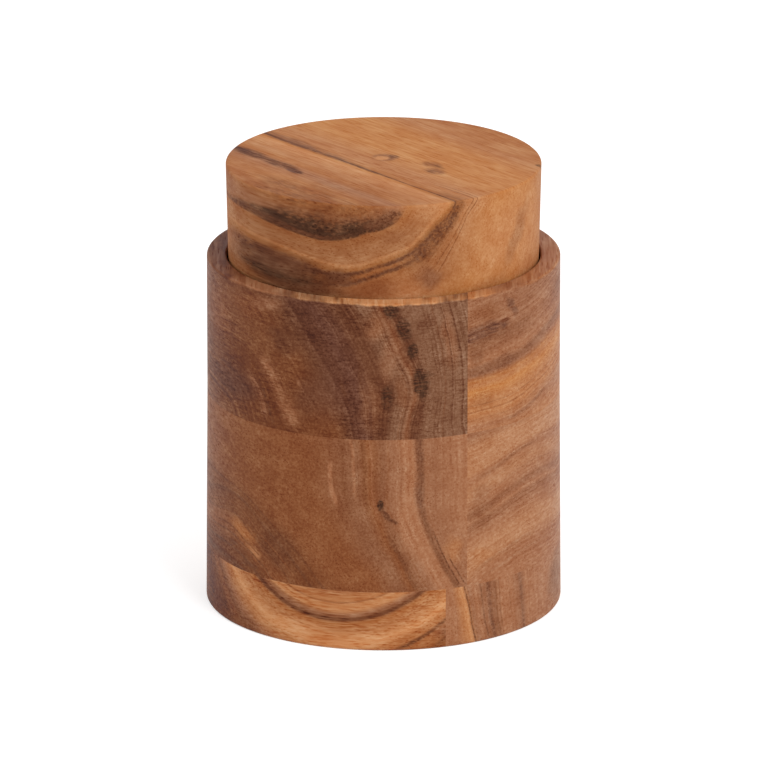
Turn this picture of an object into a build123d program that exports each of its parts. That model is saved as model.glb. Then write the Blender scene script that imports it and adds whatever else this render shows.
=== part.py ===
from build123d import *
import os

# A wooden storage jar with a drop-in lid.
# The body is glued up from three courses of two blocks each, turned as one blank on a lathe and
# bored out from the top. The lid is one thick turned block. It drops into the mouth and sits on
# a shoulder inside the rim.
# Millimetres. The origin is the centre of the underside, +Z is up and the viewer stands at -Y.

# Outside of the body: the radius at the rim, how much wider the foot is, and how far the side
# draws in at the upper joint from a straight line between the two
rim_radius = 63.5
foot_flare = 0.8
waist_depth = 0.25

# Thickness of each course of blocks, from the underside up
base_course = 22.0
middle_course = 57.0
upper_course = 50.3

# How far right of the axis the upright glue joints stand
base_joint_offset = 22.2
block_joint_offset = 29.8

# Inside of the body
mouth_wall = 7.1
seat_depth = 11.0
seat_width = 4.5
floor_thickness = 12.0
floor_bevel = 6.0

# Lid: the gap round it at the rim, how far it stands out of the body, and how much wider it is
# at its top than at the rim
lid_gap = 0.6
lid_rise = 34.1
lid_flare = 0.8

# Edges broken with sandpaper: the width taken off each
rim_outer_easing = 0.6
rim_inner_easing = 0.5
seat_easing = 0.4
foot_easing = 0.8
lid_top_easing = 0.5
lid_bottom_easing = 1.0

# Spare wood round the turned shape that the lathe takes away
blank_allowance = 5.0

# Heights and radii that follow from the sizes above
lower_joint_height = base_course
upper_joint_height = base_course + middle_course
body_height = upper_joint_height + upper_course
seat_height = body_height - seat_depth
lid_top_height = body_height + lid_rise
foot_radius = rim_radius + foot_flare
waist_radius = rim_radius + foot_flare * upper_course / body_height - waist_depth
mouth_radius = rim_radius - mouth_wall
cavity_radius = mouth_radius - seat_width
lid_rim_radius = mouth_radius - lid_gap
lid_top_radius = lid_rim_radius + lid_flare
lid_bottom_radius = lid_rim_radius - lid_flare * seat_depth / lid_rise
blank_half = foot_radius + blank_allowance


def turn(section):
    """Turn a half section, drawn as radius and height, about the jar's own axis."""
    return revolve(Plane.XZ * section, Axis.Z)


def body_section():
    """Half section through the body: waisted side, rim, mouth, seat, bore and floor."""
    return make_face(Polyline(
        (0, 0),
        (foot_radius - foot_easing, 0),
        (foot_radius, foot_easing),
        (waist_radius, upper_joint_height),
        (rim_radius, body_height - rim_outer_easing),
        (rim_radius - rim_outer_easing, body_height),
        (mouth_radius + rim_inner_easing, body_height),
        (mouth_radius, body_height - rim_inner_easing),
        (mouth_radius, seat_height),
        (cavity_radius + seat_easing, seat_height),
        (cavity_radius, seat_height - seat_easing),
        (cavity_radius, floor_thickness + floor_bevel),
        (cavity_radius - floor_bevel, floor_thickness),
        (0, floor_thickness),
        close=True,
    ))


def lid_section():
    """Half section through the lid: a solid block that narrows a little towards its seat."""
    return make_face(Polyline(
        (0, seat_height),
        (lid_bottom_radius - lid_bottom_easing, seat_height),
        (lid_bottom_radius, seat_height + lid_bottom_easing),
        (lid_top_radius, lid_top_height - lid_top_easing),
        (lid_top_radius - lid_top_easing, lid_top_height),
        (0, lid_top_height),
        close=True,
    ))


def course(turned, bottom, top, joint_offset):
    """Cut one course out of the turned body and part it at its upright glue joint."""
    height = top - bottom
    middle = (bottom + top) / 2
    left_width = blank_half + joint_offset
    right_width = blank_half - joint_offset
    left_blank = Pos((joint_offset - blank_half) / 2, 0, middle) * Box(left_width, 2 * blank_half, height)
    right_blank = Pos((joint_offset + blank_half) / 2, 0, middle) * Box(right_width, 2 * blank_half, height)
    return turned & left_blank, turned & right_blank


turned_body = turn(body_section())
base_left, base_right = course(turned_body, 0, lower_joint_height, base_joint_offset)
middle_left, middle_right = course(turned_body, lower_joint_height, upper_joint_height, block_joint_offset)
upper_left, upper_right = course(turned_body, upper_joint_height, body_height, block_joint_offset)

pieces = {
    "base_board_left": base_left,
    "base_board_right": base_right,
    "middle_block_left": middle_left,
    "middle_block_right": middle_right,
    "upper_block_left": upper_left,
    "upper_block_right": upper_right,
    "lid": turn(lid_section()),
}

os.makedirs("parts", exist_ok=True)
for name, piece in pieces.items():
    piece.label = name
    export_step(piece, f"parts/{name}.step")
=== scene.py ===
import math
from dataclasses import dataclass

import bpy
import numpy as np
from bpy.props import FloatProperty, FloatVectorProperty, IntProperty, PointerProperty
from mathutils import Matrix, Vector


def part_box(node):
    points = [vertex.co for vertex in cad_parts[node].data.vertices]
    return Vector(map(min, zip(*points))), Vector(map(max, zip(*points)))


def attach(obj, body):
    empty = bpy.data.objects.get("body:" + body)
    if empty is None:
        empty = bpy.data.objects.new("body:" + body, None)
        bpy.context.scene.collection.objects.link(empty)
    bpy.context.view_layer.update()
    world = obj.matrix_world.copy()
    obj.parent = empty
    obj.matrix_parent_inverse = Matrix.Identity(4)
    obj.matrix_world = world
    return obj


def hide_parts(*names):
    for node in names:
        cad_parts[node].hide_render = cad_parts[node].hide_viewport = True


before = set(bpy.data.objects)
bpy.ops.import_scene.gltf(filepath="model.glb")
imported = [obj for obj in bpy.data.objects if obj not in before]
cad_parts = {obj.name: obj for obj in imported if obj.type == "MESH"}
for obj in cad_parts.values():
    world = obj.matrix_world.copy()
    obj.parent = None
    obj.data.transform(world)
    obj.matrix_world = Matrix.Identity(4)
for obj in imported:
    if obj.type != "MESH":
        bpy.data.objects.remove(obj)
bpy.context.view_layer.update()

bl_info = {
    "name": "Turned wooden storage jar",
    "version": (1, 0, 0),
    "blender": (4, 5, 0),
    "location": "3D View > Sidebar > Wooden jar",
    "description": "Builds a glued-up, turned storage jar of figured wood with a thick drop-in lid",
    "category": "Object",
}

MM = 0.001


# Sizes read from the frame

def cloud(*nodes):
    """Radius and height of every corner point of some nodes, as two rows."""
    points = np.array([tuple(v.co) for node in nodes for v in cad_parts[node].data.vertices])
    return np.hypot(points[:, 0], points[:, 1]), points[:, 2]


def widest(nodes, low, high):
    """Largest radius of some nodes between two heights."""
    radius, height = cloud(*nodes)
    return float(radius[(height > low) & (height < high)].max())


def narrowest(nodes, low, high):
    """Smallest radius of some nodes between two heights."""
    radius, height = cloud(*nodes)
    return float(radius[(height > low) & (height < high)].min())


BASE_BLOCKS = ("base_board_left", "base_board_right")
MIDDLE_BLOCKS = ("middle_block_left", "middle_block_right")
UPPER_BLOCKS = ("upper_block_left", "upper_block_right")

# How far either side of an edge its radius is looked for, past the bevel where the edge is broken
LOOK = 1.0 * MM
BEVEL_LOOK = 1.5 * MM

UPPER_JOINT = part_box("middle_block_left")[1].z
BODY_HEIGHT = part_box("upper_block_left")[1].z
LID_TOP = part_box("lid")[1].z
SEAT_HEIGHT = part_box("lid")[0].z
FOOT_RADIUS = widest(BASE_BLOCKS, -LOOK, BEVEL_LOOK)
WAIST_RADIUS = widest(MIDDLE_BLOCKS, UPPER_JOINT - LOOK, UPPER_JOINT + LOOK)
RIM_RADIUS = widest(UPPER_BLOCKS, BODY_HEIGHT - LOOK, BODY_HEIGHT + LOOK)
MOUTH_RADIUS = narrowest(UPPER_BLOCKS, BODY_HEIGHT - LOOK, BODY_HEIGHT + LOOK)
CAVITY_RADIUS = narrowest(MIDDLE_BLOCKS, UPPER_JOINT - LOOK, UPPER_JOINT + LOOK)
LID_BOTTOM_RADIUS = widest(("lid",), SEAT_HEIGHT - LOOK, SEAT_HEIGHT + BEVEL_LOOK)
LID_TOP_RADIUS = widest(("lid",), LID_TOP - LOOK, LID_TOP + LOOK)


def floor_height():
    """Height of the floor of the cavity: the lowest points inside its wall, above the underside."""
    radius, height = cloud(*BASE_BLOCKS)
    return float(height[(radius < CAVITY_RADIUS - LOOK) & (height > LOOK)].min())


def length(name, description, default):
    """A length that a user may change."""
    return FloatProperty(name=name, description=description, default=default, min=0.0, unit="LENGTH")


class JarSizes(bpy.types.PropertyGroup):
    """Sizes of the turned shapes."""

    foot_radius: length("Foot radius", "Outside of the body at its underside", FOOT_RADIUS)
    waist_radius: length("Waist radius", "Outside of the body at the upper glue joint", WAIST_RADIUS)
    rim_radius: length("Rim radius", "Outside of the body at its rim", RIM_RADIUS)
    mouth_radius: length("Mouth radius", "Inside of the rim, round the lid", MOUTH_RADIUS)
    cavity_radius: length("Cavity radius", "Inside of the bore below the seat", CAVITY_RADIUS)
    body_height: length("Body height", "From the underside to the rim", BODY_HEIGHT)
    seat_height: length("Seat height", "Shoulder that the lid rests on", SEAT_HEIGHT)
    floor_height: length("Floor height", "Top of the solid bottom", floor_height())
    lid_bottom_radius: length("Lid bottom radius", "Lid at its underside", LID_BOTTOM_RADIUS)
    lid_top_radius: length("Lid top radius", "Lid at its top", LID_TOP_RADIUS)
    lid_top: length("Lid top height", "From the underside of the jar to the top of the lid", LID_TOP)
    foot_easing: length("Foot easing", "Radius sanded on the lowest edge", 0.9 * MM)
    rim_easing: length("Rim easing", "Radius sanded on both edges of the rim", 0.8 * MM)
    seat_easing: length("Seat easing", "Radius left on the shoulder", 0.5 * MM)
    cove_radius: length("Cove radius", "Hollow between the bore and the floor", 9.3 * MM)
    lid_top_easing: length("Lid top easing", "Radius sanded on the lid's upper edge", 0.8 * MM)
    lid_bottom_easing: length("Lid bottom easing", "Radius sanded on the lid's lower edge", 1.4 * MM)
    segments: IntProperty(name="Segments", description="Facets round each turned shape",
                          default=240, min=12)
    easing_steps: IntProperty(name="Easing steps", description="Facets across each eased edge",
                              default=5, min=1)


# Tones of the wood

def tone(name, description, red, green, blue):
    """A colour that a user may change, given by its 0 to 255 sRGB values."""
    display = [value / 255.0 for value in (red, green, blue)]
    linear = [v / 12.92 if v <= 0.04045 else ((v + 0.055) / 1.055) ** 2.4 for v in display]
    return FloatVectorProperty(name=name, description=description, subtype="COLOR", size=3,
                               default=linear, min=0.0, max=1.0)


class WoodTones(bpy.types.PropertyGroup):
    """Tones that the figure of every block is mixed from."""

    gold: tone("Gold", "Palest golden wood", 192, 131, 84)
    cream: tone("Cream", "Highlights of golden wood", 208, 149, 101)
    straw: tone("Straw", "Yellow gold", 188, 124, 70)
    sand: tone("Sand", "Greyer gold", 178, 125, 88)
    honey: tone("Honey", "Light golden brown", 179, 119, 75)
    amber: tone("Amber", "Warm orange brown", 172, 109, 62)
    tan: tone("Tan", "Soft light brown", 164, 110, 76)
    fawn: tone("Fawn", "Greyer light brown", 152, 101, 70)
    hazel: tone("Hazel", "Mid brown", 138, 88, 58)
    rust: tone("Rust", "Reddish mid brown", 135, 79, 44)
    chestnut: tone("Chestnut", "Plain deep brown", 122, 70, 38)
    russet: tone("Russet", "Deep reddish brown", 112, 60, 29)
    sienna: tone("Sienna", "Darkest reddish brown", 104, 48, 15)
    umber: tone("Umber", "Dark brown", 105, 61, 37)
    plum: tone("Plum", "Purple-brown heartwood", 98, 57, 40)
    ash: tone("Ash", "Grey-brown heartwood", 128, 87, 62)
    bark: tone("Bark", "Darkest brown streaks", 72, 42, 24)


# Node helpers

class Wiring:
    """Adds nodes to a tree and joins them, so that a material reads as a short formula."""

    def __init__(self, tree):
        self.tree = tree

    def node(self, kind, inputs=None, **settings):
        """Add a node, change its settings and feed its inputs with values or other sockets."""
        made = self.tree.nodes.new(kind)
        for name, value in settings.items():
            setattr(made, name, value)
        for place, value in (inputs or {}).items():
            self.feed(made.inputs[place], value)
        return made

    def feed(self, socket, value):
        """Join a socket to another one, or give it a plain value."""
        if isinstance(value, bpy.types.NodeSocket):
            self.tree.links.new(value, socket)
        elif socket.type == "RGBA":
            socket.default_value = (*value, 1.0)
        else:
            socket.default_value = value

    def math(self, operation, first, second=0.0, third=0.0):
        """Result of one Math node."""
        inputs = {0: first, 1: second, 2: third}
        return self.node("ShaderNodeMath", inputs, operation=operation).outputs[0]

    def vector(self, operation, first, second):
        """Vector result of one Vector Math node."""
        return self.node("ShaderNodeVectorMath", {0: first, 1: second}, operation=operation).outputs[0]

    def squeezed(self, place, along, across=1.0, up=1.0):
        """A place on a shorter scale, so that a pattern read there is drawn out along the fibres."""
        return self.vector("MULTIPLY", place, (across, along, up))

    def scaled(self, vector, factor):
        """A vector or colour times a number."""
        made = self.node("ShaderNodeVectorMath", {0: vector, "Scale": factor}, operation="SCALE")
        return made.outputs[0]

    def measure(self, operation, first, second=(0.0, 0.0, 0.0)):
        """Number that a Vector Math node measures: a length, a distance or a dot product."""
        return self.node("ShaderNodeVectorMath", {0: first, 1: second}, operation=operation).outputs[1]

    def parts(self, vector):
        """X, Y and Z of a vector."""
        return self.node("ShaderNodeSeparateXYZ", {0: vector}).outputs

    def joined(self, x, y, z):
        """A vector of three numbers."""
        return self.node("ShaderNodeCombineXYZ", {0: x, 1: y, 2: z}).outputs[0]

    def fit(self, value, low, high, to_low=0.0, to_high=1.0, smooth=False):
        """A number moved from one range to another and held inside it."""
        kind = "SMOOTHSTEP" if smooth else "LINEAR"
        inputs = {0: value, 1: low, 2: high, 3: to_low, 4: to_high}
        return self.node("ShaderNodeMapRange", inputs, interpolation_type=kind, clamp=True).outputs[0]

    def mixed(self, factor, first, second):
        """One colour laid over another."""
        inputs = {0: factor, 6: first, 7: second}
        return self.node("ShaderNodeMix", inputs, data_type="RGBA", clamp_factor=True).outputs[2]

    def noise(self, place, period, detail=2.0, roughness=0.5):
        """Soft noise with a given period, from 0 to 1."""
        inputs = {"Vector": place, "Scale": 1.0 / period, "Detail": detail, "Roughness": roughness}
        return self.node("ShaderNodeTexNoise", inputs, noise_dimensions="3D").outputs["Fac"]

    def sway(self, place, period):
        """Soft noise as a vector with its middle at zero."""
        inputs = {"Vector": place, "Scale": 1.0 / period, "Detail": 2.0, "Roughness": 0.5}
        made = self.node("ShaderNodeTexNoise", inputs, noise_dimensions="3D")
        return self.vector("SUBTRACT", made.outputs["Color"], (0.5, 0.5, 0.5))

    def noise_along(self, number, period, detail, roughness):
        """Soft noise along one number."""
        inputs = {"W": number, "Scale": 1.0 / period, "Detail": detail, "Roughness": roughness}
        return self.node("ShaderNodeTexNoise", inputs, noise_dimensions="1D").outputs["Fac"]

    def cells(self, place, period):
        """Distance to the nearest of many scattered points."""
        inputs = {"Vector": place, "Scale": 1.0 / period}
        made = self.node("ShaderNodeTexVoronoi", inputs, voronoi_dimensions="3D", feature="F1")
        return made.outputs["Distance"]

    def ramp(self, value, stops, low, high):
        """Colour read off a row of stops, each a place between low and high and a colour."""
        made = self.node("ShaderNodeValToRGB", {0: self.fit(value, low, high)})
        row = made.color_ramp
        while len(row.elements) < len(stops):
            row.elements.new(1.0)
        for element, (place, colour) in zip(row.elements, stops):
            element.position = (place - low) / (high - low)
            element.color = (*colour, 1.0)
        return made.outputs[0]


# Figure of the wood, in millimetres and degrees. The fibres lie level. A place on the turned side
# is given by its angle round the jar, from the front, and its height.

def side(angle, height, radius=RIM_RADIUS / MM):
    """Place on the turned side of the body."""
    turned = math.radians(angle)
    return (radius * math.sin(turned), -radius * math.cos(turned), height)


def lid_side(angle, height):
    """Place on the turned side of the lid."""
    return side(angle, height, LID_TOP_RADIUS / MM)


def lid_face(x, y):
    """Place on the top of the lid, seen in plan."""
    return (x, y, LID_TOP / MM)


@dataclass
class Figure:
    """How the growth rings, bands and stains run through one block, and where shade and highlight are
    painted into it.

    rings: places, each with the number of the growth ring that passes through it
    ground: ring numbers, each with the tone of the wood there
    bands: ring, half width, tone and strength, then the place and reach that it keeps to, if any
    stains, marks and edges: place, reach across, along and up, tone, strength, and tilt if it has one; a
    few stains on the lid are partly painted shade, and edges are painted highlight on the rim
    turn: how far the fibres are turned from front to back, to the left seen from above
    heart: the middle of the trunk, where rings are arcs round it
    lean: how far the rings move across and up for each millimetre along the fibres
    """

    rings: tuple
    ground: tuple
    turn: float = 0.0
    bands: tuple = ()
    stains_and_shade: tuple = ()
    marks: tuple = ()
    # edges: painted highlight, a paler tone laid on the rim's top and outer edge where light from above
    # falls
    edges: tuple = ()
    heart: tuple = ()
    lean: tuple = (0.0, 0.0)
    wander: float = 0.7
    fine_lines: float = 0.15
    streaks: float = 0.36
    mottle: float = 0.30
    flecks: float = 0.0
    dashes: float = 0.4
    pores: float = 1.0
    roughness: float = 0.5
    gloss: float = 0.12


def along_grain(place, turn):
    """A place as its distance across, along and up, once the fibres run along the second axis."""
    x, y, up = place
    c, s = math.cos(math.radians(turn)), math.sin(math.radians(turn))
    return (x * c + y * s, -x * s + y * c, up)


# How rounded the field of rings is between its points, and how far it may pass beside them
RING_SOFTNESS = 8.0
RING_SLACK = 0.4


def solve_rings(points):
    """Weights of a smooth field that comes close to the ring number given at each point."""
    places = np.array([(across, up) for across, up, ring in points], float)
    values = np.array([ring for across, up, ring in points], float)
    count = len(places)
    gap = places[:, None, :] - places[None, :, :]
    basis = np.sqrt((gap ** 2).sum(-1) + RING_SOFTNESS ** 2) - RING_SLACK * np.eye(count)
    plane = np.hstack([places, np.ones((count, 1))])
    system = np.block([[basis, plane], [plane.T, np.zeros((3, 3))]])
    solved = np.linalg.solve(system, np.concatenate([values, np.zeros(3)]))
    return solved[:count], solved[count:]


def ring_field(w, figure, across, along, up):
    """Number that stays the same along one growth ring, and grows by about one a millimetre."""
    lean_across, lean_up = figure.lean
    across = w.math("MULTIPLY_ADD", along, -lean_across, across)
    up = w.math("MULTIPLY_ADD", along, -lean_up, up)
    points = []
    for place, ring in figure.rings:
        a, b, c = along_grain(place, figure.turn)
        a, c = a - lean_across * b, c - lean_up * b
        if figure.heart:
            ring -= math.dist((a, c), figure.heart)
        points.append((a, c, ring))
    weights, plane = solve_rings(points)
    flat = w.joined(across, RING_SOFTNESS, up)
    field = w.math("MULTIPLY_ADD", across, float(plane[0]), float(plane[2]))
    field = w.math("MULTIPLY_ADD", up, float(plane[1]), field)
    for (point_across, point_up, _), weight in zip(points, weights):
        distance = w.measure("DISTANCE", flat, (point_across, 0.0, point_up))
        field = w.math("MULTIPLY_ADD", distance, float(weight), field)
    if figure.heart:
        heart_across, heart_up = figure.heart
        round_heart = w.measure("DISTANCE", flat, (heart_across, RING_SOFTNESS, heart_up))
        field = w.math("ADD", field, round_heart)
    return field


# Grain of the wood. Periods and reaches are in millimetres. A stretch is the share of the scale that
# a pattern keeps along the fibres, or along, across and up. A core is the share of its reach inside
# which a patch is full. Limits are the two noise values that a pattern fades between.
WANDER_STRETCH = 0.22
DRIFT_PERIOD, SHIVER_PERIOD = 22.0, 4.5
RING_DRIFT, RING_SHIVER = 4.0, 1.2
STAIN_DRIFT, STAIN_SHIVER = 9.0, 4.0
MARK_SHIVER = 2.0
STAIN_CORE, MARK_CORE, BAND_CORE = 0.25, 0.5, 0.7
FADE_END = 1.2
BREAK_PERIOD, BREAK_STRETCH, BREAK_LIMITS = 6.0, 0.3, (0.32, 0.6)
DASH_PERIOD, DASH_LIMITS = 0.9, (0.35, 0.6)
ROUND_DASH, LEVEL_DASH = (0.2, 1.0, 1.0), (0.2, 0.35, 1.6)
COARSE_PERIOD, COARSE_LIMITS, COARSE_RANGE = 9.0, (0.35, 0.65), (0.5, 1.5)
LINE_PERIOD = 1.1
STREAK_PERIOD, STREAK_STRETCH = 0.9, 0.045
MOTTLE_PERIOD, MOTTLE_STRETCH = 7.0, 0.4
PORE_PERIOD, PORE_STRETCH, PORE_LIMITS, PORE_SHADE = 0.8, 0.08, (0.14, 0.32), 0.22
FLECK_PERIOD, FLECK_STRETCH, FLECK_LIMITS = 1.3, (0.15, 0.4, 2.0), (0.48, 0.75)
SHEEN_LIMITS, SHEEN_SPREAD, PORE_ROUGHNESS = (0.3, 0.7), 0.06, 0.15
RELIEF_DEPTH, RELIEF_STRENGTH, FIBRE_RELIEF = 0.06 * MM, 0.5, 0.6


def wood_material(name, figure, tones):
    """Oiled, sanded wood whose figure runs right through the block, with painted shade and painted
    highlight laid in where a figure lists them.
    """
    material = bpy.data.materials.new(name)
    material.use_nodes = True
    tree = material.node_tree
    shader = tree.nodes["Principled BSDF"]
    w = Wiring(tree)

    def colour(word):
        return tuple(getattr(tones, word))

    place = w.node("ShaderNodeTexCoord").outputs["Object"]
    turned = w.node("ShaderNodeMapping", {
        "Vector": place,
        "Rotation": (0.0, 0.0, -math.radians(figure.turn)),
        "Scale": (1.0 / MM, 1.0 / MM, 1.0 / MM),
    }, vector_type="POINT").outputs[0]

    # The rings wander, more across the fibres than along them
    slow = w.squeezed(turned, WANDER_STRETCH)
    drift = w.sway(slow, DRIFT_PERIOD)
    shiver = w.sway(slow, SHIVER_PERIOD)

    def shifted(drift_reach, shiver_reach):
        """The place in the block, moved a little at random."""
        shaken = w.scaled(shiver, shiver_reach)
        return w.vector("ADD", turned, w.vector("ADD", w.scaled(drift, drift_reach), shaken))

    moved = shifted(RING_DRIFT * figure.wander, RING_SHIVER * figure.wander)
    across, along, up = w.parts(moved)
    rings = ring_field(w, figure, across, along, up)

    low = figure.ground[0][0]
    high = figure.ground[-1][0]
    stops = [(ring, colour(word)) for ring, word in figure.ground]
    wood = w.ramp(rings, stops, low, high)

    def near(seen, spot, reach, core, strength=1.0, tilt=0.0):
        """Weight that is full up to a share of the reach from a place, and fades out past it."""
        own = w.node("ShaderNodeMapping", {
            "Vector": seen,
            "Location": along_grain(spot, figure.turn),
            "Rotation": (0.0, math.radians(tilt), 0.0),
            "Scale": reach,
        }, vector_type="TEXTURE").outputs[0]
        return w.fit(w.measure("LENGTH", own), core, FADE_END, strength, 0.0, smooth=True)

    # Stains are soft patches with a wandering edge; a few on the lid are partly painted shade
    loose = shifted(STAIN_DRIFT, STAIN_SHIVER)
    for spot, reach, word, *amount in figure.stains_and_shade:
        wood = w.mixed(near(loose, spot, reach, STAIN_CORE, *amount), wood, colour(word))

    # Dark bands follow the rings, fade in and out, and are made of short dark dashes
    broken = w.noise(w.squeezed(turned, BREAK_STRETCH), BREAK_PERIOD, 3.0, 0.6)
    dash = LEVEL_DASH if figure.flecks else ROUND_DASH
    dashes = w.noise(w.squeezed(turned, *dash), DASH_PERIOD, 2.0, 0.6)
    dashes = w.fit(dashes, *DASH_LIMITS, figure.dashes, 1.0)
    for ring, width, word, strength, *where in figure.bands:
        off = w.math("ABSOLUTE", w.math("SUBTRACT", rings, ring))
        edge = w.fit(off, 0.1 * width, width, 1.0, 0.0, smooth=True)
        patchy = w.fit(broken, *BREAK_LIMITS, 0.5 * strength, strength)
        weight = w.math("MULTIPLY", edge, w.math("MULTIPLY", patchy, dashes))
        if where:
            weight = w.math("MULTIPLY", weight, near(loose, *where, BAND_CORE))
        wood = w.mixed(weight, wood, colour(word))

    # Marks are small, keep to their place and are broken by the same dashes; edges, painted highlight on
    # the rim, aren't broken
    close = w.vector("ADD", turned, w.scaled(shiver, MARK_SHIVER))
    for spot, reach, word, *amount in figure.marks:
        weight = w.math("MULTIPLY", near(close, spot, reach, MARK_CORE, *amount), dashes)
        wood = w.mixed(weight, wood, colour(word))
    for spot, reach, word, *amount in figure.edges:
        wood = w.mixed(near(close, spot, reach, MARK_CORE, *amount), wood, colour(word))

    # Fine growth lines, fibre streaks, mottle, pores and flecks darken and warm the tone together
    coarse = w.fit(w.noise(slow, COARSE_PERIOD), *COARSE_LIMITS, *COARSE_RANGE)
    lines = w.math("SUBTRACT", w.noise_along(rings, LINE_PERIOD, 3.0, 0.65), 0.5)
    streaks = w.noise(w.squeezed(turned, STREAK_STRETCH), STREAK_PERIOD, 3.0, 0.6)
    mottle = w.noise(w.squeezed(turned, MOTTLE_STRETCH), MOTTLE_PERIOD, 5.0, 0.65)
    cells = w.cells(w.squeezed(moved, PORE_STRETCH), PORE_PERIOD)
    pores = w.fit(cells, *PORE_LIMITS, 1.0, 0.0)

    depth = w.math("MULTIPLY_ADD", w.math("MULTIPLY", lines, coarse), figure.fine_lines * 2.0, 1.0)
    depth = w.math("MULTIPLY_ADD", w.math("SUBTRACT", streaks, 0.5), figure.streaks * 2.0, depth)
    depth = w.math("MULTIPLY_ADD", w.math("SUBTRACT", mottle, 0.5), figure.mottle * 2.0, depth)
    depth = w.math("MULTIPLY_ADD", w.math("MULTIPLY", pores, coarse), PORE_SHADE * figure.pores, depth)
    if figure.flecks:
        flecks = w.noise(w.squeezed(turned, *FLECK_STRETCH), FLECK_PERIOD, 3.0, 0.65)
        flecks = w.math("MULTIPLY", w.fit(flecks, *FLECK_LIMITS), coarse)
        depth = w.math("MULTIPLY_ADD", flecks, figure.flecks, depth)
    wood = w.node("ShaderNodeGamma", {0: wood, 1: depth}).outputs[0]
    w.feed(shader.inputs["Base Color"], wood)

    # Satin oil: pores and dull streaks are rougher
    smoothest, dullest = figure.roughness - SHEEN_SPREAD, figure.roughness + SHEEN_SPREAD
    varied = w.fit(streaks, *SHEEN_LIMITS, smoothest, dullest)
    w.feed(shader.inputs["Roughness"], w.math("MULTIPLY_ADD", pores, PORE_ROUGHNESS, varied))
    shader.inputs["Specular IOR Level"].default_value = figure.gloss

    # Shallow relief: pores are sunk and fibres stand proud
    relief = w.math("MULTIPLY_ADD", pores, -1.0, w.math("MULTIPLY", streaks, FIBRE_RELIEF))
    bump = w.node("ShaderNodeBump", {
        "Strength": RELIEF_STRENGTH,
        "Distance": RELIEF_DEPTH,
        "Height": relief,
    })
    w.feed(shader.inputs["Normal"], bump.outputs[0])
    return material


def curve(ring, *places, on=side):
    """Points that one growth ring passes through, each by the two numbers that its surface takes."""
    return tuple((on(*place), ring) for place in places)


def lid_curve(ring, *places):
    """Points of one growth ring on the side of the lid."""
    return curve(ring, *places, on=lid_side)


def face_curve(ring, *places):
    """Points of one growth ring on the top of the lid."""
    return curve(ring, *places, on=lid_face)


def patches(on, *rows):
    """Stains, marks or patches of painted shade on one surface, each with the two numbers of its place
    first.
    """
    return tuple((on(first, second), *rest) for first, second, *rest in rows)


BASE_LEFT = Figure(
    turn=74.0,
    rings=(
        curve(10.5, (-47, 24), (-42, 20.3), (-35, 16.4), (-28, 13.6), (-20, 12), (-12, 12), (-4, 13.6),
              (3, 17), (10, 22.3))
        + curve(-4, (2, 1.8), (8, 3.4), (13, 5.9), (17, 8.6), (21, 11.8))
        + curve(-4, (-62, 22), (-56, 15), (-50, 9), (-43, 4), (-36, 0))
        + curve(-12, (-68, 18), (-60, 8), (-52, 0))
        + curve(19, (-20, 21), (-60, 40), (20, 36))
        + curve(-30, (-80, 12), (30, -10))
    ),
    ground=((-140, "rust"), (-128, "tan"), (-118, "honey"), (-104, "tan"), (-94, "honey"), (-80, "hazel"),
            (-66, "rust"), (-52, "chestnut"), (-36, "russet"), (-28, "sienna"), (-20, "sienna"),
            (-15, "russet"), (-11, "rust"), (-8, "hazel"), (-5.5, "tan"), (-3, "honey"), (-1, "gold"),
            (0.8, "cream"), (3, "gold"), (6, "honey"), (8.5, "amber"), (10.5, "hazel"), (12, "fawn"),
            (14, "gold"), (19, "honey"), (22, "tan")),
    bands=((10.4, 1.1, "umber", 1.9), (12.8, 1.0, "rust", 0.7, side(-36, 20), (12, 20, 8)),
           (10.6, 1.8, "rust", 0.5), (-4, 1.1, "umber", 0.9, side(14, 8), (16, 20, 9)),
           (16.5, 0.5, "rust", 0.8), (-9, 1.0, "chestnut", 0.9), (5.5, 0.5, "amber", 0.8),
           (-1.5, 0.4, "amber", 0.8), (-112, 1.6, "umber", 1.0), (-87, 2.0, "umber", 0.8),
           (-60, 2.5, "umber", 0.6)),
    stains_and_shade=patches(side,
        (-72, 4, (10, 22, 7), "sienna", 0.6),
        (-52, 2, (6, 12, 4), "chestnut", 0.6),
        (12, 2, (8, 20, 5), "amber", 0.8),
        (-33, 6, (9, 20, 3), "cream", 0.7, 10),
        (-12, 4, (12, 20, 2.5), "cream", 0.5),
    ),
    wander=0.25,
    pores=1.5,
    flecks=0.45,
)

BASE_RIGHT = Figure(
    rings=(
        curve(30, (26.5, 22), (28.3, 17), (29.8, 10), (32, 0))
        + curve(35, (33, 22), (33.6, 16), (34.6, 9), (36, 2))
        + curve(38, (36.8, 22), (37.4, 13), (38.4, 5))
        + curve(41, (40.5, 22), (41.3, 13), (42.5, 4))
        + curve(49, (48.5, 22), (50, 12), (51, 3))
        + curve(58, (59, 22), (60.5, 3))
        + curve(66, (72, 22), (73, 3))
        + curve(23, (21, 22), (22, 0))
    ),
    ground=((21, "tan"), (25, "tan"), (27.5, "honey"), (29, "gold"), (31, "fawn"), (33, "tan"),
            (35, "fawn"), (38, "fawn"), (39.5, "hazel"), (41, "tan"), (46, "tan"), (49, "fawn"),
            (51.5, "fawn"), (53, "tan"), (60, "tan"), (66, "tan")),
    bands=((30, 0.5, "umber", 1.0), (35, 0.45, "umber", 0.8), (37.4, 1.3, "plum", 0.7),
           (41, 0.35, "umber", 0.5), (50.4, 1.3, "plum", 0.6), (54, 0.4, "rust", 0.4),
           (45, 0.4, "hazel", 0.4)),
    stains_and_shade=patches(side,
        (78, 12, (5, 20, 12), "ash", 0.6),
    ),
    wander=0.2,
)

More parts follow.
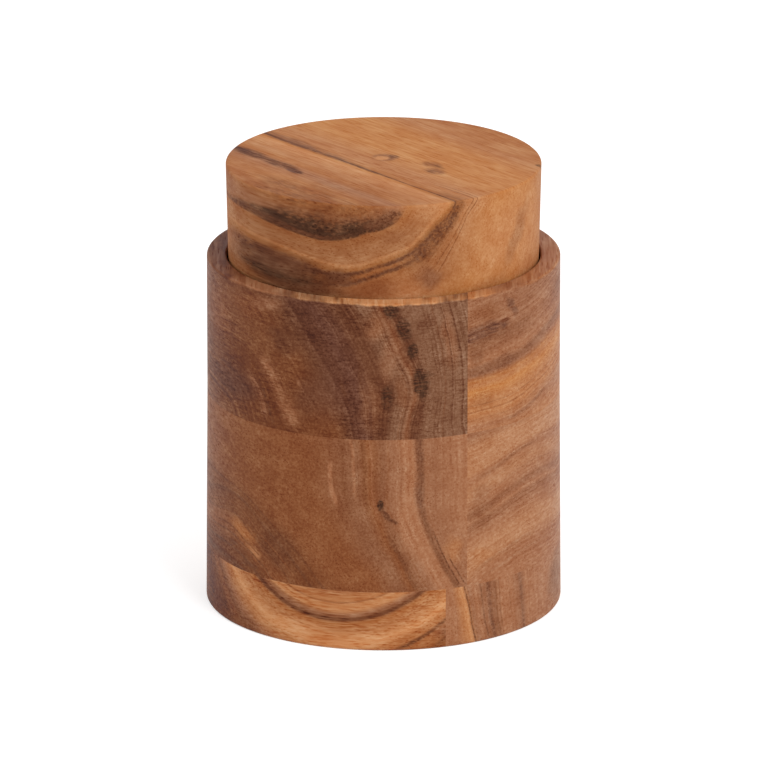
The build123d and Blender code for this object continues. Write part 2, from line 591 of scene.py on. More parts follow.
MIDDLE_LEFT = Figure(
    rings=(
        curve(0, (-19, 79), (-18, 67), (-15, 52), (-8, 36), (1, 22))
        + curve(5, (-8, 79), (-7, 62), (-3, 47), (4, 32), (8, 22))
        + curve(10, (-1, 79), (-1, 56), (2, 46), (8, 31), (13, 22))
        + curve(20, (12, 79), (12.5, 60), (15, 44), (20, 31), (25, 22))
        + curve(26, (20, 79), (21, 50), (27, 30))
        + curve(31, (28, 79), (28, 50))
        + curve(-6, (-60, 59), (-45, 53), (-30, 43), (-18, 34), (-8, 23))
        + curve(-12, (-85, 46), (-70, 52), (-50, 49), (-34, 36), (-23, 22))
        + curve(-20, (-85, 38), (-62, 41), (-50, 36), (-33, 22))
        + curve(-30, (-85, 27), (-66, 28), (-50, 24.5), (-46, 22))
        + curve(-3, (-80, 79), (-50, 72), (-33, 62))
    ),
    ground=((-36, "chestnut"), (-31, "russet"), (-27, "chestnut"), (-24, "rust"), (-21, "rust"),
            (-17, "chestnut"), (-12, "chestnut"), (-7, "rust"), (-2, "rust"), (2, "hazel"), (4, "hazel"),
            (7, "rust"), (10, "hazel"), (13, "fawn"), (15, "tan"), (18, "tan"), (19.5, "hazel"),
            (21, "fawn"), (23, "fawn"), (32, "tan")),
    bands=((-32, 1.0, "umber", 1.2), (-28.5, 0.8, "umber", 1.2), (-24.5, 0.6, "umber", 0.8),
           (-13, 0.8, "umber", 0.8), (-16, 0.5, "rust", 0.8), (-10.5, 0.5, "umber", 0.6),
           (-22.5, 0.6, "sienna", 0.8, side(-58, 34), (14, 40, 8)), (-18.5, 0.5, "umber", 0.6),
           (0.2, 0.4, "tan", 1.8, side(-17, 61), (5, 20, 9)),
           (3.4, 0.5, "tan", 1.0, side(-10, 70), (5, 20, 14)),
           (1.8, 0.6, "chestnut", 0.7, side(-13, 68), (6, 20, 14)),
           (5.6, 0.9, "chestnut", 1.2, side(-6, 68), (6, 20, 16)),
           (7.4, 0.4, "tan", 0.8, side(-3, 66), (5, 20, 16)),
           (8.2, 2.0, "umber", 0.75, side(6, 33), (10, 20, 13)), (11.5, 0.5, "rust", 0.6),
           (19.8, 1.3, "umber", 0.55), (19.4, 1.8, "plum", 0.5, side(13, 66), (6, 20, 18)),
           (20.9, 0.4, "umber", 1.4, side(20, 32), (8, 20, 13)),
           (22.4, 0.35, "umber", 1.2, side(24, 28), (5, 20, 9))),
    stains_and_shade=patches(side,
        (-72, 64, (12, 40, 12), "rust", 0.7),
        (-36, 34, (10, 12, 9), "umber", 0.5, 35),
        (-52, 37, (7, 12, 3.2), "amber", 0.9, 15),
        (-47, 31.5, (4, 12, 2.0), "honey", 0.9, 25),
        (8, 44, (4.5, 12, 11), "tan", 0.9, -15),
        (4, 66, (4.5, 12, 14), "fawn", 0.7),
        (22, 36, (4, 12, 5), "honey", 0.6),
    ),
    marks=patches(side,
        (-1, 54.5, (1.3, 8, 2.2), "bark", 1.4),
        (0.6, 51, (1.3, 8, 3.0), "umber", 1.2, -35),
        (3, 48.5, (0.9, 8, 2.2), "umber", 1.0, -60),
        (-58, 31, (2.2, 8, 1.0), "umber", 0.8),
        (-49, 25, (4, 8, 1.2), "umber", 0.7),
    ),
)

MIDDLE_RIGHT = Figure(
    rings=(
        curve(0, (28, 62), (40, 66), (52, 69.5), (66, 70), (84, 68))
        + curve(-14, (28, 48), (40, 53), (55, 57), (70, 57), (84, 55))
        + curve(-27, (28, 35), (42, 41), (60, 45), (84, 43))
        + curve(-38, (28, 23), (40, 29), (60, 33), (84, 31))
        + curve(14, (28, 77), (60, 82))
    ),
    ground=((-46, "tan"), (-38, "tan"), (-34, "sand"), (-29, "sand"), (-24, "tan"), (-19, "fawn"),
            (-17, "tan"), (-15, "fawn"), (-11, "tan"), (-5, "sand"), (-2, "tan"), (0, "tan"),
            (1.5, "sand"), (9, "sand"), (14, "fawn")),
    bands=((-1.2, 1.3, "hazel", 0.8, side(44, 67), (14, 20, 7)), (-5, 1.0, "hazel", 0.3),
           (-14, 1.3, "hazel", 0.5), (-18, 0.6, "hazel", 0.4), (-9, 0.5, "hazel", 0.4),
           (-22, 0.6, "fawn", 0.4), (-36, 1.2, "hazel", 0.45, side(44, 30), (14, 20, 8)),
           (-40, 0.6, "hazel", 0.4)),
    stains_and_shade=patches(side,
        (33, 49, (6, 20, 8), "hazel", 0.5),
        (33, 57, (5, 20, 4), "fawn", 0.6),
        (34, 31, (6, 20, 4), "honey", 0.5),
    ),
    fine_lines=0.25,
    flecks=0.12,
)

UPPER_LEFT = Figure(
    rings=(
        curve(0, (-33, 128), (-22, 110), (-16, 100), (-10, 82))
        + curve(-12, (-85, 109), (-70, 110), (-56, 110), (-44, 105), (-36, 94), (-29, 82))
        + curve(-20, (-85, 101), (-68, 101), (-57, 101), (-50, 98), (-41, 82))
        + curve(-30, (-85, 89), (-65, 89), (-54, 82))
        + curve(-6, (-85, 121), (-75, 121), (-50, 122), (-38, 110), (-26, 93))
        + curve(12, (-6, 128), (0, 112), (5, 98), (3, 82))
        + curve(20, (2, 129), (9, 112), (13, 99), (10, 82))
        + curve(28, (14, 128), (18, 100), (17, 82))
        + curve(36, (22, 128), (26, 100), (26, 82))
    ),
    ground=((-40, "hazel"), (-33, "chestnut"), (-28, "russet"), (-18, "russet"), (-15, "russet"),
            (-12, "chestnut"), (-8, "chestnut"), (-4, "chestnut"), (-1, "umber"), (3, "plum"),
            (7, "umber"), (9.5, "umber"), (11.5, "ash"), (14.5, "ash"), (17, "hazel"), (19.5, "umber"),
            (22.5, "ash"), (30, "ash"), (40, "ash")),
    bands=((-12.2, 3.6, "tan", 1.0, side(-35, 93), (11, 20, 15)),
           (-20, 1.7, "fawn", 1.1, side(-45, 91), (7, 20, 9)),
           (-18.0, 0.8, "umber", 1.0, side(-43, 87), (6, 20, 9)), (0.5, 1.6, "plum", 0.35),
           (19.6, 2.8, "umber", 0.45), (33, 0.45, "umber", 1.3), (36, 0.5, "umber", 1.5),
           (38, 1.6, "umber", 1.1, side(27, 88), (5, 20, 11)), (25, 0.6, "umber", 0.5),
           (30, 0.4, "hazel", 0.5), (14, 0.7, "chestnut", 0.6), (5, 0.8, "plum", 0.5)),
    stains_and_shade=patches(side,
        (-70, 114, (7, 24, 12), "rust", 0.8),
        (-50, 122, (10, 24, 6), "rust", 0.6),
        (-40, 124, (7, 16, 4), "fawn", 0.8),
        (-57, 92, (10, 24, 8), "plum", 0.7),
        (-34, 112, (6, 12, 6), "umber", 0.7),
        (-24, 92, (6, 12, 9), "umber", 0.4),
        (-4, 91, (5, 12, 13), "hazel", 0.6),
        (-2, 121, (5, 12, 7), "hazel", 1.0),
        (3, 109, (4, 12, 10), "fawn", 0.5, 15),
        (6, 96, (3, 12, 10), "hazel", 0.6),
        (22, 115, (3, 12, 12), "fawn", 0.6),
        (-18, 95, (13, 20, 13), "plum", 0.5),
        (2.6, 126, (4.2, 8, 5.5), "umber", 0.5, -25),
        (8, 114, (3.0, 8, 6.5), "umber", 0.4, -10),
        (12.3, 100, (2.9, 8, 8.0), "umber", 0.5, -8),
        (11, 87, (2.6, 8, 8.5), "umber", 0.5),
        (1, 95, (2.6, 8, 5.5), "umber", 0.4),
    ),
    marks=patches(side,
        (12.0, 99.5, (3.2, 8, 6.5), "bark", 1.3, -8),
        (14.0, 103, (3.2, 8, 1.2), "bark", 0.5),
        (9.3, 112, (2.0, 8, 3.0), "bark", 1.3, -10),
        (6.5, 120, (2.8, 8, 5.0), "bark", 1.0, -15),
        (2.4, 127, (3.0, 8, 3.5), "bark", 1.2, -25),
        (11, 86, (2.6, 8, 7.0), "umber", 1.3),
        (1, 94.5, (2.4, 8, 5.0), "bark", 1.0),
        (14, 122, (3.8, 8, 4.0), "umber", 1.0),
        (-6, 122, (3.5, 8, 5.0), "umber", 0.8, 20),
        (-7.5, 103, (0.8, 8, 6), "umber", 0.8),
        (-13, 97, (0.8, 8, 7), "umber", 0.7, -15),
        (-28.5, 98, (0.8, 8, 2.4), "fawn", 0.7, -30),
    ),
    # Edges: painted highlight, the rim's top paler at the front and its outer edge paler on the left, as
    # where light from above falls
    edges=(
        (side(-46, 129.7, 62), (18, 16, 1.3), "tan", 0.8),
        (side(-1, 129.9, 60), (40, 30, 1.2), "cream", 0.9),
    ),
    fine_lines=0.28,
    mottle=0.34,
    flecks=0.30,
    dashes=0.1,
)

UPPER_RIGHT = Figure(
    rings=(
        curve(0, (28, 98), (40, 99), (50, 101), (62, 104), (82, 108))
        + curve(-18, (28, 80), (50, 82), (65, 86), (84, 88))
        + curve(14, (28, 114), (36, 116), (44, 118), (60, 121), (78, 125))
        + curve(28, (30, 129), (70, 136))
    ),
    ground=((-26, "honey"), (-18, "tan"), (-13, "honey"), (-8, "honey"), (-4, "straw"), (-2, "honey"),
            (-0.6, "amber"), (1.5, "fawn"), (3, "hazel"), (5, "tan"), (8, "fawn"), (11, "hazel"),
            (14, "fawn"), (20, "fawn"), (30, "fawn")),
    bands=((14.2, 4.0, "plum", 1.4, side(34, 115), (10, 20, 5)),
           (3.0, 3.0, "plum", 0.6, side(35, 101), (14, 20, 8)), (3, 1.2, "hazel", 0.8),
           (-18, 1.2, "hazel", 0.8, side(52, 84), (12, 20, 5)), (-12, 0.5, "rust", 0.6),
           (8, 0.5, "rust", 0.6), (18, 0.6, "rust", 0.7), (12, 0.5, "rust", 0.5), (-7, 0.5, "amber", 0.8),
           (-9.5, 0.4, "rust", 0.6), (-15, 0.4, "rust", 0.5), (5.5, 0.4, "rust", 0.5)),
    stains_and_shade=patches(side,
        (45.5, 123, (1.4, 8, 5), "plum", 0.6, -20),
        (35, 123, (7, 10, 4), "rust", 0.6),
        (31, 107, (4, 10, 4), "umber", 0.3),
        (33, 89, (6, 10, 5), "rust", 0.25),
        (62, 118, (8, 20, 9), "tan", 0.6),
    ),
    marks=patches(side,
        (43, 118, (1.6, 8, 1.0), "sienna", 0.9),
    ),
    # Edges: painted highlight, a pale line on the rim's outer edge at the front right and a paler rim top
    # at the right, as where light from above falls
    edges=(
        (side(30, 129.8, 63), (16, 14, 1.1), "gold", 0.8),
        (side(75, 129.7, 60), (16, 34, 1.5), "amber", 0.5),
    ),
    fine_lines=0.25,
    flecks=0.12,
)

LID = Figure(
    turn=39.6,
    heart=(-45.4, 175.3),
    lean=(0.06, 0.064),
    rings=(
        lid_curve(21, (-72, 158.5), (-60, 156), (-50, 152.8), (-40, 150), (-30, 148.8), (-20, 149.8),
                  (-10, 152), (0, 156.5), (8, 162.5))
        + lid_curve(33, (-72, 148), (-60, 144.5), (-40, 139.3), (-20, 138.7), (0, 142), (10, 146),
                    (15, 150), (18, 154.5), (21, 159))
        + face_curve(33, (25, -50), (0, -18), (-20, 5), (-42, 36))
        + lid_curve(15.5, (-68, 163), (-50, 161))
        + face_curve(19, (-53, 18), (-42, 3), (-33, -9), (-18, -30))
        + lid_curve(44, (35, 163), (30, 157), (27, 150), (22, 143), (18, 137))
        + lid_curve(66, (60, 160), (52, 136))
        + face_curve(66, (20, 10))
        + lid_curve(86, (85, 150))
        + face_curve(86, (38, 30))
    ),
    ground=((4, "amber"), (14, "amber"), (19, "tan"), (22, "amber"), (26, "honey"), (31, "gold"),
            (32.5, "straw"), (34, "amber"), (37, "amber"), (40, "honey"), (46, "honey"), (56, "straw"),
            (62, "straw"), (70, "straw"), (78, "honey"), (90, "amber")),
    bands=((17.6, 4.6, "umber", 1.1, lid_side(-18, 150), (36, 36, 13)),
           (19.0, 2.8, "bark", 1.5, lid_side(-22, 151), (36, 33, 9.5)),
           (20.2, 1.6, "bark", 2.5, lid_side(-26, 151), (40, 38, 10)),
           (19.6, 2.4, "umber", 1.6, lid_side(3, 157), (9, 20, 5.4)),
           (20.6, 1.0, "umber", 1.2, lid_side(-54, 155), (24, 50, 9)),
           (12.5, 4.5, "chestnut", 1.0, lid_side(-30, 160), (34, 44, 5)),
           (33.8, 1.1, "umber", 1.4, lid_side(-5, 141), (44, 60, 15)),
           (36.2, 1.2, "umber", 1.4, lid_side(-14, 138), (24, 40, 8)),
           (36.2, 5.4, "umber", 1.2, lid_side(18, 153), (18, 24, 13)),
           (37.4, 4.6, "bark", 1.0, lid_side(-42, 139), (13, 24, 8)),
           (36.4, 1.0, "bark", 0.9, lid_side(-45, 140), (13, 24, 9)),
           (40.0, 0.8, "bark", 0.9, lid_side(-42, 137), (13, 24, 9)),
           (43.5, 0.9, "bark", 1.0, lid_side(-36, 134), (15, 26, 9)),
           (35.4, 3.4, "hazel", 1.2, lid_face(-32, 22), (11, 34, 12)),
           (34.0, 1.3, "umber", 1.6, lid_face(-24, 12), (9, 42, 9)),
           (34.0, 0.6, "umber", 1.3, lid_face(8, -28), (8, 40, 9)),
           (43, 0.4, "rust", 1.6, lid_side(28, 154), (16, 30, 16)),
           (45, 0.4, "rust", 1.6, lid_side(28, 154), (16, 30, 16)), (31.2, 1.1, "gold", 0.6)),
    stains_and_shade=patches(lid_side,
        (-20, 146, (76, 76, 18.5), "chestnut", 0.53),
        (60, 146, (34, 44, 20), "gold", 0.9),
        (-28, 159, (24, 34, 4), "rust", 0.6),
        (-43, 137.5, (15, 26, 7), "umber", 1.0),
        # Dark umber just above the rim on the left: partly a dark stain, partly painted shade in the
        # narrow gap over the rim
        (-34, 132, (20, 26, 5), "umber", 1.0),
        (-17, 136.5, (6, 10, 3.5), "umber", 1.0),
        # Also partly a dark stain and partly painted shade just above the rim
        (-30, 130.5, (24, 28, 3.5), "umber", 0.6),
        (-68, 137, (9, 14, 8), "hazel", 0.7),
        (42, 130.5, (12, 14, 3.5), "amber", 0.9),
        (-5, 132, (14, 14, 5), "rust", 0.8),
        (18, 137, (5, 16, 5), "hazel", 0.9, 25),
        (3, 151, (4, 10, 3), "rust", 0.4),
        (57, 145, (4.4, 12, 14), "hazel", 0.42, 28),
    ) + patches(lid_face,
        (40, 20, (8, 24, 6), "amber", 0.6),
        (-32, -30, (7, 24, 4), "amber", 0.5),
        (-18, -31, (3, 10, 3), "hazel", 0.4),
    ),
    marks=patches(lid_face,
        (-48.5, 10.5, (3.4, 13, 3), "umber", 1.1),
        (-51, 14, (1.6, 7, 3), "plum", 1.0),
        (-37, -4.5, (3.0, 11, 3), "umber", 1.1),
        (-31.5, -13, (2.0, 5, 3), "plum", 1.3, -10),
        (0.4, 4.4, (4.6, 4.8, 3), "hazel", 1.2),
        (3.4, 5.4, (1.8, 2.8, 2), "umber", 1.0),
        (-0.6, 3.6, (3.0, 3.0, 2), "gold", 1.4),
        (17, -5, (3.2, 5, 3), "rust", 0.9),
        (18.5, -13, (3.4, 5, 3), "rust", 1.0),
        (17, -13, (1.4, 2.4, 2), "umber", 0.6),
        (20, -8, (1.0, 3.5, 2), "umber", 0.5),
        (55.5, -6, (1.4, 2, 1.5), "bark", 0.9),
        (-32, 24, (3.2, 14, 3), "hazel", 0.5),
    ),
    roughness=0.65,
    streaks=0.24,
    fine_lines=0.12,
    mottle=0.4,
)

FIGURES = {
    "base_board_left": BASE_LEFT,
    "base_board_right": BASE_RIGHT,
    "middle_block_left": MIDDLE_LEFT,
    "middle_block_right": MIDDLE_RIGHT,
    "upper_block_left": UPPER_LEFT,
    "upper_block_right": UPPER_RIGHT,
    "lid": LID,
}


# Turned shapes

def new_tree(name, inputs):
    """Geometry Nodes tree with named inputs and one geometry output."""
    tree = bpy.data.node_groups.new(name, "GeometryNodeTree")
    for label, kind in inputs:
        tree.interface.new_socket(label, in_out="INPUT", socket_type=kind)
    tree.interface.new_socket("Geometry", in_out="OUTPUT", socket_type="NodeSocketGeometry")
    return tree, Wiring(tree)


SECTION_INPUTS = (
    ("Section", "NodeSocketGeometry"),
    ("Segments", "NodeSocketInt"),
    ("Easing steps", "NodeSocketInt"),
)
PLANK_INPUTS = (("Plank centre", "NodeSocketVector"), ("Plank size", "NodeSocketVector"))
MATERIAL_INPUT = (("Wood", "NodeSocketMaterial"),)
CLOSING_DISTANCE = 0.01 * MM
CREASE_ANGLE = math.radians(40.0)


def turning_tree():
    """Eases the corners of a half section and turns it about the Z axis."""
    tree, w = new_tree("Turned section", SECTION_INPUTS)
    given = w.node("NodeGroupInput").outputs
    easing = w.node("GeometryNodeInputNamedAttribute", {"Name": "easing"}, data_type="FLOAT").outputs[0]
    curve = w.node("GeometryNodeMeshToCurve", {"Mesh": given["Section"]}).outputs[0]
    eased = w.node("GeometryNodeFilletCurve", {
        "Curve": curve,
        "Count": given["Easing steps"],
        "Radius": easing,
        "Limit Radius": True,
    }, mode="POLY").outputs[0]
    size = w.node("GeometryNodeAttributeDomainSize", {0: eased}, component="CURVE")
    counted = size.outputs["Point Count"]
    grid = w.node("GeometryNodeMeshGrid", {
        "Vertices X": w.math("ADD", given["Segments"], 1.0),
        "Vertices Y": counted,
    }).outputs[0]
    index = w.node("GeometryNodeInputIndex").outputs[0]
    column = w.math("FLOOR", w.math("DIVIDE", index, counted))
    row = w.math("SUBTRACT", index, w.math("MULTIPLY", column, counted))
    position = w.node("GeometryNodeInputPosition").outputs[0]
    sampled = w.node("GeometryNodeSampleIndex", {
        "Geometry": eased,
        "Value": position,
        "Index": row,
    }, data_type="FLOAT_VECTOR", domain="POINT").outputs[0]
    radius, _, height = w.parts(sampled)
    angle = w.math("MULTIPLY", column, w.math("DIVIDE", math.tau, given["Segments"]))
    turned = w.joined(
        w.math("MULTIPLY", radius, w.math("COSINE", angle)),
        w.math("MULTIPLY", radius, w.math("SINE", angle)),
        height,
    )
    placed = w.node("GeometryNodeSetPosition", {"Geometry": grid, "Position": turned}).outputs[0]
    closed = w.node("GeometryNodeMergeByDistance", {
        "Geometry": placed,
        "Distance": CLOSING_DISTANCE,
    }).outputs[0]
    w.node("NodeGroupOutput", {0: closed})
    return tree


def turned_part(w, given, turning):
    """The shared turning tree, fed with this tree's own inputs."""
    return w.node("GeometryNodeGroup", {
        "Section": given["Section"],
        "Segments": given["Segments"],
        "Easing steps": given["Easing steps"],
    }, node_tree=turning).outputs[0]


def finish_tree(w, given, solid):
    """Smooth sides with crisp corners, plain geometry and the wood, as the end of a tree."""
    smooth = w.node("GeometryNodeSetShadeSmooth", {
        "Geometry": solid,
        "Shade Smooth": True,
    }, domain="FACE")
    angle = w.node("GeometryNodeInputMeshEdgeAngle").outputs["Unsigned Angle"]
    corner = w.math("GREATER_THAN", angle, CREASE_ANGLE)
    creased = w.node("GeometryNodeSetShadeSmooth", {
        "Geometry": smooth.outputs[0],
        "Selection": corner,
        "Shade Smooth": False,
    }, domain="EDGE")
    plain = w.node("GeometryNodeRealizeInstances", {0: creased.outputs[0]})
    covered = w.node("GeometryNodeSetMaterial", {"Geometry": plain.outputs[0], "Material": given["Wood"]})
    w.node("NodeGroupOutput", {0: covered.outputs[0]})


def lid_tree(turning):
    """Tree of the lid: one turned solid."""
    tree, w = new_tree("Turned lid", SECTION_INPUTS + MATERIAL_INPUT)
    given = w.node("NodeGroupInput").outputs
    finish_tree(w, given, turned_part(w, given, turning))
    return tree


def block_tree(turning):
    """Tree of one glued block: the turned body where it lies inside the block's plank."""
    tree, w = new_tree("Glued block", SECTION_INPUTS + PLANK_INPUTS + MATERIAL_INPUT)
    given = w.node("NodeGroupInput").outputs
    plank = w.node("GeometryNodeMeshCube", {"Size": given["Plank size"]}).outputs[0]
    laid = w.node("GeometryNodeTransform", {"Geometry": plank, "Translation": given["Plank centre"]})
    cut = w.node("GeometryNodeMeshBoolean", operation="INTERSECT", solver="EXACT")
    w.feed(cut.inputs[1], turned_part(w, given, turning))
    w.feed(cut.inputs[1], laid.outputs[0])
    finish_tree(w, given, cut.outputs[0])
    return tree


# How far from its corner a point beside it stands, and how long the edge must be, in easing radii
HOLDING_SHARE = 1.7
LEAST_ROOM = 3.0 * HOLDING_SHARE


def beside(corner, other):
    """Point a little way from an eased corner to the next one, if the edge between has room."""
    middle = Vector(corner[:2])
    away = Vector(other[:2]) - middle
    easing = corner[2]
    if not easing or away.length <= LEAST_ROOM * easing:
        return []
    point = middle + away.normalized() * HOLDING_SHARE * easing
    return [(point.x, point.y, 0.0)]


def held(section):
    """Add points beside each eased corner, so that the flats next to it stay flat when shaded."""
    kept = [section[0]]
    for before, corner, after in zip(section, section[1:], section[2:]):
        kept += beside(corner, before) + [corner] + beside(corner, after)
    return kept + [section[-1]]


def section_mesh(name, section):
    """Half section as a chain of edges, with the easing radius of each corner as an attribute."""
    points = held(section)
    mesh = bpy.data.meshes.new(name)
    edges = [(i, i + 1) for i in range(len(points) - 1)]
    mesh.from_pydata([(radius, 0.0, height) for radius, height, easing in points], edges, [])
    easing = mesh.attributes.new("easing", "FLOAT", "POINT")
    for slot, point in zip(easing.data, points):
        slot.value = point[2]
    return mesh


WAIST_LIFT = 0.7 * MM


def body_section(sizes):
    """Half section through the body, from the middle of its underside round to its floor.

    No corner lies exactly on a glue joint, because the cut there would leave slivers."""
    return [
        (0.0, 0.0, 0.0),
        (sizes.foot_radius, 0.0, sizes.foot_easing),
        (sizes.waist_radius, UPPER_JOINT + WAIST_LIFT, 0.0),
        (sizes.rim_radius, sizes.body_height, sizes.rim_easing),
        (sizes.mouth_radius, sizes.body_height, sizes.rim_easing),
        (sizes.mouth_radius, sizes.seat_height, sizes.seat_easing),
        (sizes.cavity_radius, sizes.seat_height, sizes.seat_easing),
        (sizes.cavity_radius, sizes.floor_height, sizes.cove_radius),
        (0.0, sizes.floor_height, 0.0),
    ]


def lid_section(sizes):
    """Half section through the lid, from the middle of its underside round to its top."""
    return [
        (0.0, sizes.seat_height, 0.0),
        (sizes.lid_bottom_radius, sizes.seat_height, sizes.lid_bottom_easing),
        (sizes.lid_top_radius, sizes.lid_top, sizes.lid_top_easing),
        (0.0, sizes.lid_top, 0.0),
    ]


def set_input(modifier, label, value):
    """Set an input of a Geometry Nodes modifier by the identifier of its socket."""
    for item in modifier.node_group.interface.items_tree:
        if item.item_type == "SOCKET" and item.in_out == "INPUT" and item.name == label:
            modifier[item.identifier] = value
            return
    raise RuntimeError(f"the tree has no input named {label}")


def grow(name, section, tree, values):
    """Run a tree on a section and keep the result as a plain mesh object at the origin."""
    source = bpy.data.objects.new(name + "_section", section_mesh(name + "_section", section))
    bpy.context.scene.collection.objects.link(source)
    modifier = source.modifiers.new("Shape", "NODES")
    modifier.node_group = tree
    for label, value in values.items():
        set_input(modifier, label, value)
    ready = source.evaluated_get(bpy.context.evaluated_depsgraph_get())
    mesh = bpy.data.meshes.new_from_object(ready)
    bpy.data.objects.remove(source)
    if not mesh.polygons:
        raise RuntimeError(f"{name} came out empty")
    mesh.name = name
    piece = bpy.data.objects.new(name, mesh)
    bpy.context.scene.collection.objects.link(piece)
    return piece


def common_inputs(sizes):
    """Tree inputs that every turned piece shares."""
    return {"Segments": sizes.segments, "Easing steps": sizes.easing_steps}


def show_as(piece, node, body):
    """Let a piece stand for its node and move with its body."""
    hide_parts(node)
    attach(piece, body)


PLANK_ALLOWANCE = 5.0 * MM


def plank(node, sizes):
    """Centre and size of the plank that a block was sawn from, oversize where the lathe cuts."""
    low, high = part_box(node)
    reach = sizes.foot_radius + PLANK_ALLOWANCE
    low.y = -reach
    high.y = reach
    if low.x < 0.0:
        low.x = -reach
    else:
        high.x = reach
    if low.z < LOOK:
        low.z -= PLANK_ALLOWANCE
    if high.z > BODY_HEIGHT - LOOK:
        high.z += PLANK_ALLOWANCE
    return (low + high) / 2.0, high - low


class JAR_OT_body(bpy.types.Operator):
    """Turn the glued-up body and part it into its six blocks"""

    bl_idname = "jar.body"
    bl_label = "Make the body"

    def execute(self, context):
        sizes = context.scene.jar_sizes
        tree = block_tree(turning_tree())
        for node in BASE_BLOCKS + MIDDLE_BLOCKS + UPPER_BLOCKS:
            centre, size = plank(node, sizes)
            wood = wood_material(node + "_wood", FIGURES[node], context.scene.wood_tones)
            values = common_inputs(sizes)
            values.update({"Plank centre": centre, "Plank size": size, "Wood": wood})
            piece = grow("turned_" + node, body_section(sizes), tree, values)
            show_as(piece, node, "jar")
        return {"FINISHED"}


class JAR_OT_lid(bpy.types.Operator):
    """Turn the drop-in lid"""

    bl_idname = "jar.lid"
    bl_label = "Make the lid"

    def execute(self, context):
        sizes = context.scene.jar_sizes
        wood = wood_material("lid_wood", FIGURES["lid"], context.scene.wood_tones)
        values = common_inputs(sizes)
        values["Wood"] = wood
        piece = grow("turned_lid", lid_section(sizes), lid_tree(turning_tree()), values)
        show_as(piece, "lid", "lid")
        return {"FINISHED"}


# Stage

def amount(name, description, default):
    """A plain number that a user may change."""
    return FloatProperty(name=name, description=description, default=default, min=0.0)


class StageSettings(bpy.types.PropertyGroup):
    """Floor, light and camera."""

    floor_size: length("Floor size", "Side of the square floor", 12.0)
    floor_tone: amount("Floor tone", "Grey of the floor, from 0 to 1", 0.8)
    floor_lift: amount("Floor lift", "White added to the floor where the camera sees it", 0.5)
    room_light: amount("Room light", "Even light from all round", 0.74)
    key_power: amount("Key power", "Large soft lamp, in watts", 13.0)
    fill_power: amount("Fill power", "Weak lamp on the left, in watts", 1.5)
    aim_height: length("Aim height", "Height that the camera looks at", 79.4 * MM)
    camera_distance: length("Camera distance", "From the camera to the point that it looks at", 3.4925)
    camera_rise: FloatProperty(name="Camera rise", description="How far the camera looks down",
                               default=math.radians(17.91), subtype="ANGLE")
    lens: amount("Lens", "Focal length in millimetres", 453.8)


AIM_SIDE = 0.15 * MM
FAR_CLIP = 100.0
KEY_PLACE = (0.75, -1.1, 1.25)
KEY_SIZE = 0.9
FILL_PLACE = (-1.2, -0.7, 0.6)
FILL_SIZE = 0.8


def aimed(thing, target):
    """Point a camera or lamp at a place."""
    away = thing.location - Vector(target)
    thing.rotation_euler = away.to_track_quat("Z", "Y").to_euler()


def area_lamp(name, place, size, power, target):
    """A square soft lamp."""
    light = bpy.data.lights.new(name, "AREA")
    light.energy = power
    light.size = size
    lamp = bpy.data.objects.new(name, light)
    lamp.location = place
    aimed(lamp, target)
    bpy.context.scene.collection.objects.link(lamp)


def seen_white(w):
    """One where a camera, mirror or see-through ray looks, and nothing for other light."""
    path = w.node("ShaderNodeLightPath").outputs
    mirror = w.math("MAXIMUM", path["Is Glossy Ray"], path["Is Transmission Ray"])
    return w.math("MAXIMUM", path["Is Camera Ray"], mirror)


def white_room(room_light):
    """World that looks white and lights the jar evenly from all round."""
    world = bpy.data.worlds.new("Studio")
    bpy.context.scene.world = world
    world.use_nodes = True
    w = Wiring(world.node_tree)
    strength = w.fit(seen_white(w), 0.0, 1.0, room_light, 1.0)
    background = world.node_tree.nodes["Background"]
    background.inputs["Color"].default_value = (1.0, 1.0, 1.0, 1.0)
    w.feed(background.inputs["Strength"], strength)


def floor_material(settings):
    """Matt pale floor that reads as white in the open and keeps the jar's shadow."""
    material = bpy.data.materials.new("pale_floor")
    material.use_nodes = True
    tree = material.node_tree
    w = Wiring(tree)
    shader = tree.nodes["Principled BSDF"]
    shade = settings.floor_tone
    shader.inputs["Base Color"].default_value = (shade, shade, shade, 1.0)
    shader.inputs["Roughness"].default_value = 1.0
    shader.inputs["Specular IOR Level"].default_value = 0.0
    shader.inputs["Emission Color"].default_value = (1.0, 1.0, 1.0, 1.0)
    w.feed(shader.inputs["Emission Strength"], w.math("MULTIPLY", seen_white(w), settings.floor_lift))
    return material


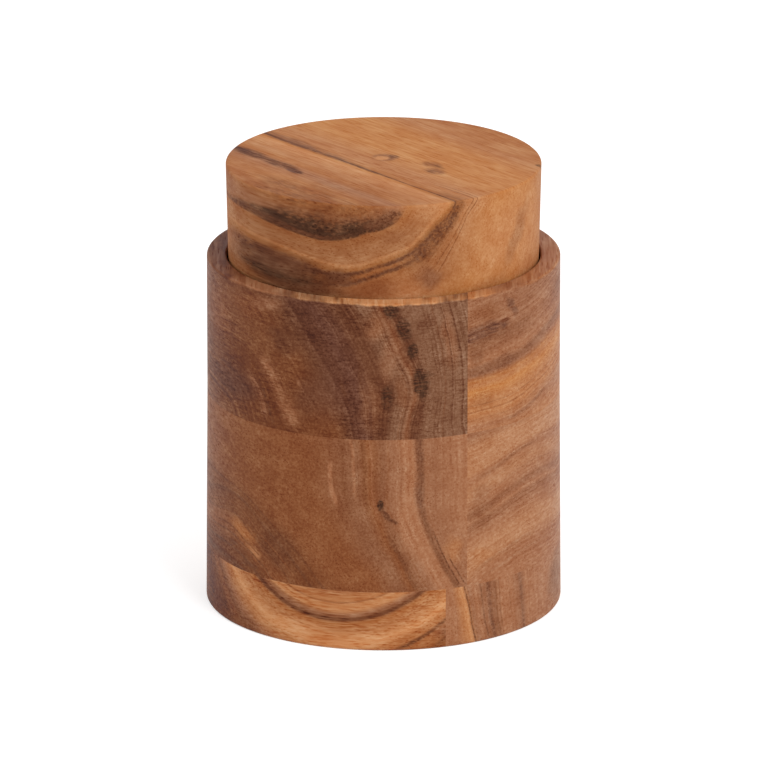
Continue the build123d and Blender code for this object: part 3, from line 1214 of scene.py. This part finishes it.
class JAR_OT_stage(bpy.types.Operator):
    """Lay the floor, light the jar and set the camera"""

    bl_idname = "jar.stage"
    bl_label = "Set the stage"

    def execute(self, context):
        settings = context.scene.jar_stage
        half = settings.floor_size / 2.0
        mesh = bpy.data.meshes.new("floor")
        corners = [(-half, -half, 0.0), (half, -half, 0.0), (half, half, 0.0), (-half, half, 0.0)]
        mesh.from_pydata(corners, [], [(0, 1, 2, 3)])
        mesh.materials.append(floor_material(settings))
        floor = bpy.data.objects.new("floor", mesh)
        context.scene.collection.objects.link(floor)

        white_room(settings.room_light)
        aim = (AIM_SIDE, 0.0, settings.aim_height)
        area_lamp("key", KEY_PLACE, KEY_SIZE, settings.key_power, aim)
        area_lamp("fill", FILL_PLACE, FILL_SIZE, settings.fill_power, aim)

        camera = bpy.data.objects.new("camera", bpy.data.cameras.new("camera"))
        camera.data.lens = settings.lens
        camera.data.clip_end = FAR_CLIP
        back = Vector((0.0, -math.cos(settings.camera_rise), math.sin(settings.camera_rise)))
        camera.location = Vector(aim) + settings.camera_distance * back
        aimed(camera, aim)
        context.scene.collection.objects.link(camera)
        context.scene.camera = camera
        context.scene.view_settings.view_transform = "Standard"
        return {"FINISHED"}


class JAR_PT_panel(bpy.types.Panel):
    """Buttons and values of the jar"""

    bl_idname = "JAR_PT_panel"
    bl_label = "Wooden storage jar"
    bl_space_type = "VIEW_3D"
    bl_region_type = "UI"
    bl_category = "Wooden jar"

    def draw(self, context):
        for operator in OPERATORS:
            self.layout.operator(operator.bl_idname)
        for group in (context.scene.jar_sizes, context.scene.wood_tones, context.scene.jar_stage):
            box = self.layout.box()
            for name in group.__annotations__:
                box.prop(group, name)


OPERATORS = (JAR_OT_body, JAR_OT_lid, JAR_OT_stage)
CLASSES = (JarSizes, WoodTones, StageSettings) + OPERATORS + (JAR_PT_panel,)


def register():
    """Make the classes and their values known to Blender."""
    for cls in CLASSES:
        bpy.utils.register_class(cls)
    bpy.types.Scene.jar_sizes = PointerProperty(type=JarSizes)
    bpy.types.Scene.wood_tones = PointerProperty(type=WoodTones)
    bpy.types.Scene.jar_stage = PointerProperty(type=StageSettings)


def unregister():
    """Take them away again."""
    del bpy.types.Scene.jar_stage
    del bpy.types.Scene.wood_tones
    del bpy.types.Scene.jar_sizes
    for cls in reversed(CLASSES):
        bpy.utils.unregister_class(cls)


def main():
    """Build the jar and its stage."""
    register()
    bpy.ops.jar.stage()
    bpy.ops.jar.body()
    bpy.ops.jar.lid()


if __name__ == "__main__":
    main()
